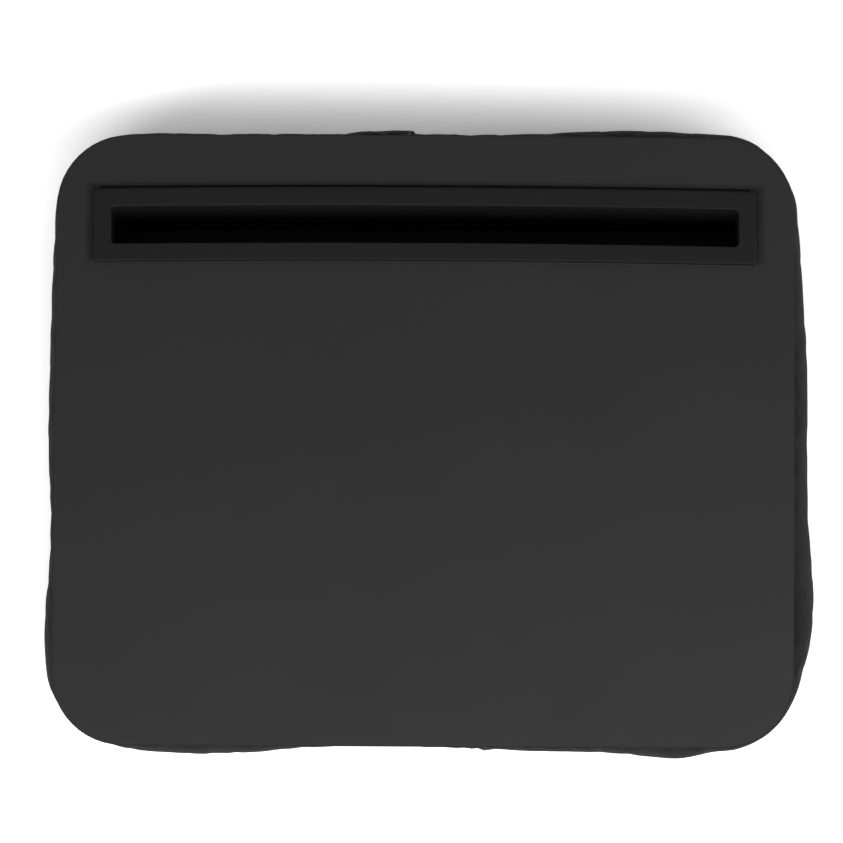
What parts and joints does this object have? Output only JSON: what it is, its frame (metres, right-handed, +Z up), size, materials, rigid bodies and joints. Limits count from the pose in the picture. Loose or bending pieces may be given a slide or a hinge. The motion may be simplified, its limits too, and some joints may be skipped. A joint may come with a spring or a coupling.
{
  "type": "tablet holder",
  "caption": "Lap tablet holder: a flat rounded rigid tray with a long slanted slot near its rear edge, on a swelling bead-filled fabric cushion.",
  "frame": {"origin": "on the floor plane, under the middle of the tray", "axes": "+X to the user's right along the slot, +Y away from the user towards the slot's side, +Z up"},
  "size_m": [0.3694, 0.3021, 0.068],
  "materials": {
    "tray_plastic": "fine satin grain",
    "insert_plastic": "smooth satin",
    "strip_plastic": "extruded, satin",
    "screw_steel": "zinc plated",
    "cover_fabric": "woven polyester, matt",
    "bag_fabric": "thin lining cloth",
    "bead_foam": "expanded foam beads"
  },
  "bodies": {
    "root": {"tray": "tray_plastic", "slot_insert": "insert_plastic", "hem_strip_front": "strip_plastic", "hem_strip_rear": "strip_plastic", "hem_strip_left": "strip_plastic", "hem_strip_right": "strip_plastic", "cover_band_left": "cover_fabric", "cover_band_right": "cover_fabric", "cover_base": "cover_fabric", "bead_bag_top": "bag_fabric", "bead_bag_bottom": "bag_fabric", "bead_fill": "bead_foam", "insert_screw_1": "screw_steel", "insert_washer_1": "screw_steel", "insert_screw_2": "screw_steel", "insert_washer_2": "screw_steel", "insert_screw_3": "screw_steel", "insert_washer_3": "screw_steel", "insert_screw_4": "screw_steel", "insert_washer_4": "screw_steel", "insert_screw_5": "screw_steel", "insert_washer_5": "screw_steel"}
  },
  "joints": []
}
